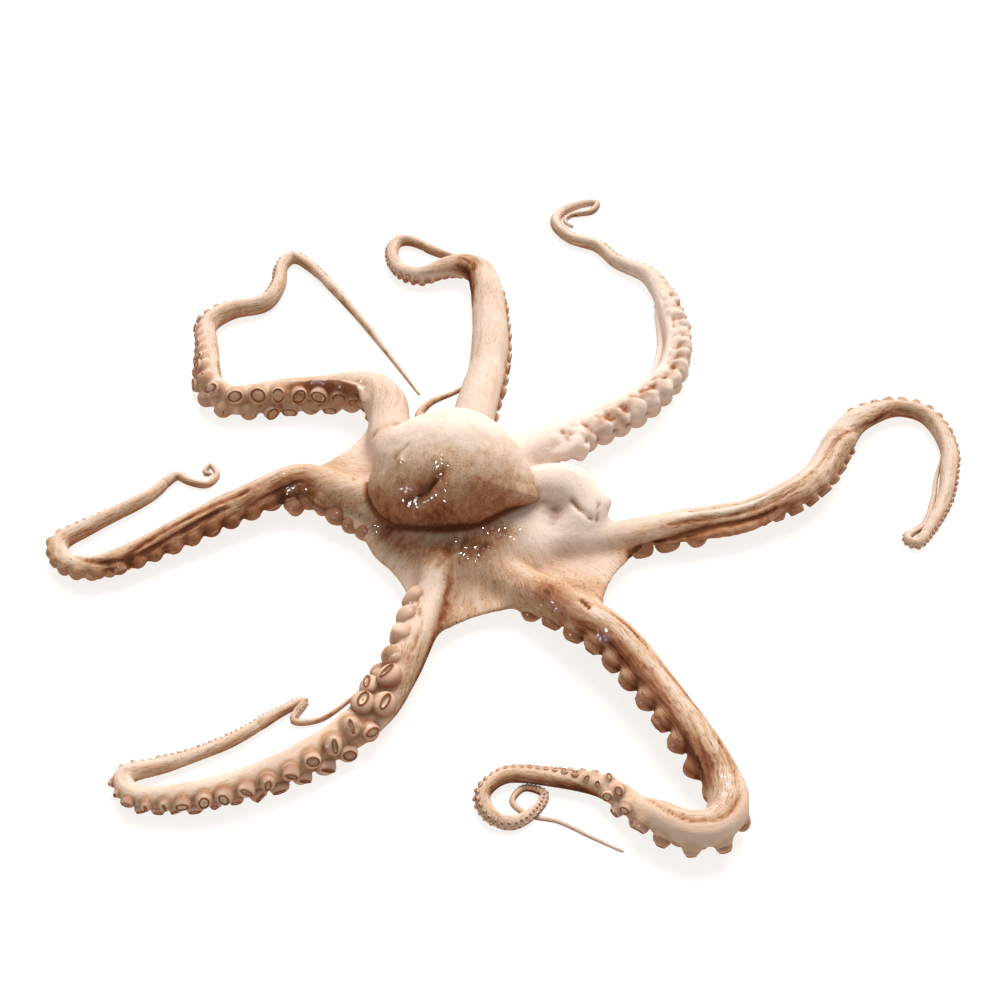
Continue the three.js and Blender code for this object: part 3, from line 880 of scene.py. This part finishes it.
class Nodes:
    """Adds nodes to a material: a call makes one node and fills its inputs with values or outputs.
    An input is given by its name, or by its number after an i."""

    def __init__(self, material):
        material.use_nodes = True
        self.tree = material.node_tree
        self.shader = self.tree.nodes["Principled BSDF"]

    def __call__(self, kind, out=0, settings=None, **inputs):
        made = self.tree.nodes.new("ShaderNode" + kind)
        for key, value in (settings or {}).items():
            setattr(made, key, value)
        for key, value in inputs.items():
            self.fill(made.inputs[int(key[1:]) if key[1:].isdigit() else key], value)
        return made.outputs[out]

    def fill(self, socket, value):
        if isinstance(value, bpy.types.NodeSocket):
            self.tree.links.new(value, socket)
        else:
            socket.default_value = value

    def math(self, operation, a, b=0.0):
        return self("Math", settings={"operation": operation}, i0=a, i1=b)

    def times(self, a, b):
        return self.math("MULTIPLY", a, b)

    def plus(self, a, b):
        return self.math("ADD", a, b)

    def vector(self, operation, a, b=(0, 0, 0), c=(0, 0, 0)):
        return self("VectorMath", settings={"operation": operation}, i0=a, i1=b, i2=c)

    def attribute(self, name, out="Fac"):
        return self("Attribute", out=out, settings={"attribute_name": name})

    def steps(self, value, low, high, to_low=0.0, to_high=1.0):
        smooth = {"interpolation_type": "SMOOTHSTEP"}
        return self("MapRange", settings=smooth, i0=value, i1=low, i2=high, i3=to_low, i4=to_high)

    def mix(self, factor, a, b):
        return self("Mix", out=2, settings={"data_type": "RGBA"}, i0=factor, i6=a, i7=b)

    def noise(self, vector, scale, detail=2.0, rough=0.5, out=0):
        return self("TexNoise", out=out, Vector=vector, Scale=scale, Detail=detail, Roughness=rough)

    def set(self, **values):
        """Sets the shader's own sockets, by their names with _ for each space."""
        for key, value in values.items():
            self.fill(self.shader.inputs[key.replace("_", " ")], value)


# The skin of the body and the mantle: cream flesh under a thin brown skin with fine dark specks and
# hairlines. They are streaked along the arms, and out from the crown between them.
skin = bpy.data.materials.new("skin")
nodes = Nodes(skin)
spot = nodes("TexCoord", out="Object")
waver = nodes.vector("SUBTRACT", nodes.noise(spot, 60, 2, out=1), (0.5, 0.5, 0.5))
along_arm = nodes.vector("MULTIPLY", nodes.attribute("grain", "Vector"), (0.7, 0.07, 1))
along_arm = nodes.vector("MULTIPLY_ADD", waver, (2, 2, 2), along_arm)
x, y = nodes("SeparateXYZ", i0=spot).node.outputs[:2]
x = nodes.plus(x, 0.010)
y = nodes.plus(y, 0.015)
turn = nodes.math("ARCTAN2", x, nodes.times(y, -1))
reach = nodes.math("SQRT", nodes.plus(nodes.times(x, x), nodes.times(y, y)))
from_crown = nodes("CombineXYZ", i0=nodes.times(turn, 60), i1=nodes.times(reach, 45))
from_crown = nodes.vector("MULTIPLY_ADD", waver, (6, 6, 6), from_crown)
on_arm = nodes.attribute("on_arm")


def grained(crown_scale, arm_scale, detail, rough=0.5):
    """Noise along the grain of the skin, which runs out from the crown and along each arm."""
    crown_noise = nodes.noise(from_crown, crown_scale, detail, rough)
    return nodes("Mix", i0=on_arm, i2=crown_noise, i3=nodes.noise(along_arm, arm_scale, detail, rough))


streaks = grained(1, 1, 3, 0.6)
hairs = grained(1.9, 2, 3, 0.7)
bands = grained(0.3, 0.35, 2)
blotches = nodes.noise(spot, 40, 3, 0.55)
specks = nodes.noise(spot, 620, 3, 0.75)
brown = nodes.attribute("brown")
mottle = nodes.attribute("mottle")
patchy = nodes.plus(nodes.times(streaks, 0.8), nodes.times(blotches, 0.7))
patchy = nodes.plus(patchy, nodes.times(bands, 0.8))
patchy = nodes.math("SUBTRACT", patchy, 1.15)
patchy = nodes.times(patchy, nodes.steps(brown, 0.0, 0.4, 0.5, 1.1))
tone_and_shade = nodes.plus(brown, nodes.times(patchy, mottle))
# From bare flesh to the darkest brown. Below 0 it turns palest, partly as painted light on the most brightly lit
# parts, and some of it is rosy.
SKIN_TONES = [
    (0.0, (0.66, 0.50, 0.40)),
    (0.3, (0.53, 0.345, 0.215)),
    (0.65, (0.35, 0.148, 0.072)),
    (0.85, (0.2, 0.066, 0.028)),
    (1.0, (0.075, 0.022, 0.01)),
]
PALEST = (0.80, 0.65, 0.55, 1)
ROSY = (0.55, 0.30, 0.22, 1)
SPECK = (0.12, 0.06, 0.035, 1)
HAIR = (0.14, 0.07, 0.042, 1)
CREASE_SHADE = (0.30, 0.105, 0.04, 1)
ramp = nodes("ValToRGB", i0=tone_and_shade)
stops = ramp.node.color_ramp.elements
for k, (where, tint) in enumerate(SKIN_TONES):
    stop = stops[k] if k < 2 else stops.new(where)
    stop.position = where
    stop.color = (*tint, 1)
colour = nodes.mix(nodes.steps(tone_and_shade, -0.35, 0.05, 0.8, 0.0), ramp, PALEST)
rosy = nodes.steps(nodes.noise(spot, 28, 2), 0.45, 0.7, 0.0, 0.12)
colour = nodes.mix(rosy, colour, nodes.mix(0.5, colour, ROSY))
dark_specks = nodes.times(nodes.steps(specks, 0.54, 0.62), nodes.steps(tone_and_shade, 0.1, 0.7, 0.04, 0.28))
colour = nodes.mix(dark_specks, colour, SPECK)
dark_hairs = nodes.times(nodes.steps(hairs, 0.56, 0.63), nodes.steps(tone_and_shade, -0.1, 0.4, 0.12, 0.8))
dark_hairs = nodes.times(dark_hairs, nodes.steps(mottle, 0.2, 0.5))
colour = nodes.mix(dark_hairs, colour, HAIR)
# Painted shade in the creases, on the undersides, round the sucker feet and where the mantle lies on the crown.
colour = nodes.mix(nodes.times(nodes.attribute("crease"), 0.75), colour, CREASE_SHADE)
relief = nodes.plus(nodes.times(streaks, 0.45), nodes.times(specks, 0.3))
relief = nodes.plus(relief, nodes.times(nodes.noise(spot, 260, 3, 0.6), 0.5))
nodes.set(
    Base_Color=colour,
    Roughness=nodes.steps(nodes.noise(spot, 120, 3), 0.35, 0.65, 0.3, 0.5),
    Subsurface_Weight=0.08,
    Subsurface_Radius=(1, 0.4, 0.25),
    Subsurface_Scale=0.003,
    Specular_IOR_Level=0.0,
    Normal=nodes("Bump", Height=relief, Strength=0.8, Distance=0.0009),
)
# A film of water over fine wrinkles, where the skin is wet. Each small facet of it is tilted its own
# way, so that the lamps glint there in clusters.
facets = nodes.vector("SUBTRACT", nodes("TexVoronoi", out=1, Vector=spot, Scale=760), (0.5, 0.5, 0.5))
facets = nodes("VectorMath", settings={"operation": "SCALE"}, i0=facets, Scale=0.65)
film = nodes.vector("ADD", nodes("NewGeometry", out=1), facets)
nodes.set(
    Coat_Normal=nodes.vector("NORMALIZE", film),
    Coat_Weight=nodes.steps(nodes.attribute("wet"), 0.15, 0.75, 0.005, 0.22),
    Coat_Roughness=0.025,
)


def dress(piece, material):
    """Gives a piece its material and makes it stand for the octopus."""
    piece.data.materials.clear()
    piece.data.materials.append(material)
    only(piece)
    bpy.ops.object.shade_smooth()
    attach(piece, "root")
    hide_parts("octopus")


dress(body, skin)
dress(mantle, skin)


# The suckers: stubby pots of firm muscle that grow out of the sucker side of each arm, each with a
# thin brown rim round its cream cup. A profile is the radius and height of each ring of a sucker of
# radius 1, from its foot, inside the arm, over the rim and into the cup.
POT = [
    (0.85, -0.5), (0.92, 0.0), (1.0, 0.35), (1.0, 0.7), (0.95, 0.95), (0.87, 1.05), (0.79, 1.07), (0.7, 1.01),
    (0.6, 0.92), (0.4, 0.87),
]
SMALL_POT = [(1.0, -0.6), (1.0, 0.3), (0.85, 0.95), (0.6, 1.05), (0.42, 0.75)]


def sucker_mesh(name, profile, segments):
    """One sucker that stands on the floor, with how far along the profile each point is."""
    bpy.ops.mesh.primitive_circle_add(vertices=segments, radius=profile[0][0], location=(0, 0, 0))
    pot = bpy.context.object
    pot.name = pot.data.name = name
    bpy.ops.object.mode_set(mode="EDIT")
    bpy.ops.mesh.select_all(action="SELECT")
    bpy.ops.transform.translate(value=(0, 0, profile[0][1]))
    for (old, low), (new, high) in zip(profile, profile[1:]):
        bpy.ops.mesh.extrude_region_move(TRANSFORM_OT_translate={"value": (0, 0, high - low)})
        bpy.ops.transform.resize(value=(new / old, new / old, 1), center_override=(0, 0, high))
    bpy.ops.mesh.extrude_region_move(TRANSFORM_OT_translate={"value": (0, 0, -0.04)})
    bpy.ops.mesh.merge(type="CENTER")
    bpy.ops.mesh.select_all(action="SELECT")
    bpy.ops.mesh.normals_make_consistent(inside=False)
    bpy.ops.object.mode_set(mode="OBJECT")
    rings = len(profile)
    store(pot.data, "part", np.append(np.repeat(np.arange(rings), segments), rings) / rings)
    return pot


big = sucker_mesh("big_sucker", POT, 16)
small = sucker_mesh("small_sucker", SMALL_POT, 10)
# A soft one, whose mouth doesn't show, is a bulb with painted shade at its foot.
bpy.ops.mesh.primitive_uv_sphere_add(segments=24, ring_count=14, location=(0, 0, 0))
bulb = bpy.context.object
store(bulb.data, "part", 0.22 + 0.13 * smoothstep(-0.3, 0.7, read(bulb.data)[:, 2]))

# Their material: flesh that is paler on its upper side, as painted light, darker on its lower side
# and at its foot, as painted shade, the brown rim, and the cream cup inside it.
FLESH = ((0.38, 0.175, 0.095, 1), (0.48, 0.26, 0.155, 1))
PALE_FLESH = (0.69, 0.48, 0.35, 1)
DARK_FLESH = (0.2, 0.075, 0.035, 1)
FOOT_SHADE = (0.24, 0.08, 0.035, 1)
CUP = (0.66, 0.48, 0.33, 1)
RIM = (0.2, 0.06, 0.02, 1)
sucker_skin = bpy.data.materials.new("sucker_skin")
nodes = Nodes(sucker_skin)
spot = nodes("TexCoord", out="Object")
part = nodes.attribute("part")
tone_and_shade = nodes.attribute("tone_and_shade")
rimmed = nodes.attribute("rim")
colour = nodes.mix(nodes.steps(nodes.noise(spot, 150, 3, 0.6), 0.35, 0.65), *FLESH)
# Paler on the upper side as painted light, and darker on the lower side and where they hang as painted shade.
colour = nodes.mix(tone_and_shade, colour, PALE_FLESH)
colour = nodes.mix(nodes.steps(tone_and_shade, -0.6, 0.1, 0.8, 0.0), colour, DARK_FLESH)
# Painted shade at the foot, where the sucker meets the arm.
foot_shade = nodes.times(nodes.steps(part, 0.15, 0.42, 1.0, 0.0), nodes.steps(rimmed, 0.0, 1.0, 0.25, 0.8))
colour = nodes.mix(foot_shade, colour, FOOT_SHADE)
colour = nodes.mix(nodes.steps(part, 0.7, 0.79), colour, CUP)
at_rim = nodes.times(nodes.steps(part, 0.36, 0.45), nodes.steps(part, 0.7, 0.8, 1.0, 0.0))
at_rim = nodes.times(at_rim, rimmed)
colour = nodes.mix(nodes.times(at_rim, 0.95), colour, RIM)
nodes.set(
    Base_Color=colour,
    Roughness=0.35,
    Subsurface_Weight=0.3,
    Subsurface_Radius=(1, 0.4, 0.25),
    Subsurface_Scale=0.003,
    Coat_Weight=0.05,
    Coat_Roughness=0.1,
    Specular_IOR_Level=0.0,
    Normal=nodes("Bump", Height=nodes.noise(spot, 500, 2), Strength=0.4, Distance=0.0005),
)

# Some soft ones hang under the edge of the web beside the left arm, and three under the root of the
# right one. The near left arm's first suckers are soft too.
HANGING = [
    (left, (-149, -19, 12), 8.5), (left, (-138, -15, 14), 9.5), (left, (-127, -19, 13), 9.5),
    (left, (-114, -30, 14), 10), (left, (-103, -40, 12), 7.5), (left, (-91, -47, 12), 8.5),
    (right, (120, -60, 9), 9), (right, (140, -54, 9), 10), (right, (163, -48, 8), 9),
]
HANGING_OUT = np.array((-0.3, -0.6, -0.7))
SIDEWAYS = np.array((1.0, 0, 0))
SOFT_AS_FAR_AS = -190
BEND_FROM = -270
SMALLEST_BIG = 3.8
random_turn = np.random.default_rng(7)
for arm in ARMS:
    pots = []
    rows = [(*sucker, False) for sucker in sucker_places(arm, 0.9) if arm is not far_right or sucker[3] < 4]
    for owner, foot, radius in HANGING:
        if owner is arm:
            rows.append((np.array(foot, float), HANGING_OUT, SIDEWAYS, radius, True))
    for foot, out, along, radius, hangs in rows:
        soft = hangs or (arm is near_left and foot[1] > SOFT_AS_FAR_AS)
        at_bend = arm is near_right and foot[1] < BEND_FROM
        model = bulb if soft else big if radius > SMALLEST_BIG else small
        copy = bpy.data.objects.new("sucker", model.data.copy())
        bpy.context.collection.objects.link(copy)
        # The way it faces, and the way its mouth is squeezed.
        out = Vector(out) + arm["lean"] * Vector(random_turn.uniform(-1, 1, 3))
        if arm is near_left:
            out += Vector((0, -0.25, 0.3))
        if at_bend:
            out += Vector((0, -0.2, -0.2))
        out.normalize()
        first = out.cross(Vector(along)).normalized()
        second = out.cross(first)
        twist = random_turn.uniform(0, math.pi)
        one = first * math.cos(twist) + second * math.sin(twist)
        two = out.cross(one)
        squeeze = random_turn.uniform(*arm["squeeze"])
        size = radius * random_turn.uniform(*arm["sizes"])
        co = read(copy.data)
        mouth = np.clip(co[:, 2], 0, 1)[:, None] ** 4
        co[:, 1:2] *= 1 + (squeeze * squeeze - 1) * mouth
        co *= arm["stretch"]
        if at_bend:
            co[:, 2] *= 1.25
        if soft:
            co[:, :2] *= arm["swell"]
            co *= 1 + 0.18 * lumps(co * radius + foot, 8)[:, None]
        else:
            co[:, :2] *= 1 - arm["taper"] * mouth
        co = co @ np.array([one, two, out]) * size + foot
        co[:, 2] = np.maximum(co[:, 2], 0.1)
        write(copy.data, co)
        # Some are paler than others; those that hang are darker, as painted shade, and all are paler on their
        # upper side, as painted light.
        nearest = np.linalg.norm(arm["centre"] - foot, axis=1).argmin()
        shade = arm["pale"][nearest] - 0.15 * hangs + 0.3 * random_turn.uniform(-0.5, 0.7)
        store(copy.data, "tone_and_shade", shade + 0.45 * (co - foot) @ (0, 0.5, 0.85) / size)
        store(copy.data, "rim", np.full(len(co), arm["rims"]))
        pots.append(copy)
    if pots:
        dress(join(pots, arm["name"] + "_suckers"), sucker_skin)
for model in (big, small, bulb):
    bpy.data.objects.remove(model)
